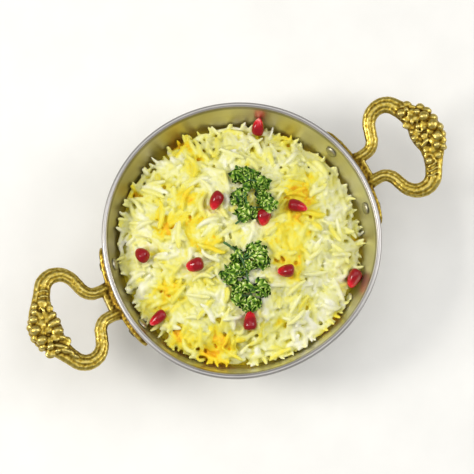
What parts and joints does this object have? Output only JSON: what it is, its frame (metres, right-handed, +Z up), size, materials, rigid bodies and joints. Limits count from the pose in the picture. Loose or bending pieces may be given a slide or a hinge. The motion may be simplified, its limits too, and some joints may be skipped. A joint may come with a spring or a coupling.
{
  "type": "bowl of basmati rice",
  "caption": "Small round two-handled metal serving pan of heaped saffron-stained basmati rice, topped with pomegranate arils and curly parsley.",
  "frame": {"origin": "centre of the pan's flat base, on the table", "axes": "+X along the longest extent, from the left handle to the right one; +Z up, along the shortest extent"},
  "size_m": [0.2335, 0.1393, 0.0508],
  "materials": {
    "steel": "satin, spun",
    "rivet": "satin",
    "brass": "cast, worn bright on the high places",
    "rice": "cooked grain",
    "aril": "wet, glossy",
    "parsley": "leaf"
  },
  "bodies": {
    "root": {"bowl": "steel", "handle_right": "brass", "handle_left": "brass", "rivet_1": "rivet", "rivet_2": "rivet", "rivet_3": "rivet", "rivet_4": "rivet", "rice": "rice", "aril_01": "aril", "aril_02": "aril", "aril_03": "aril", "aril_04": "aril", "aril_05": "aril", "aril_06": "aril", "aril_07": "aril", "aril_08": "aril", "aril_09": "aril", "aril_10": "aril", "parsley_upper": "parsley", "parsley_lower": "parsley"}
  },
  "joints": []
}
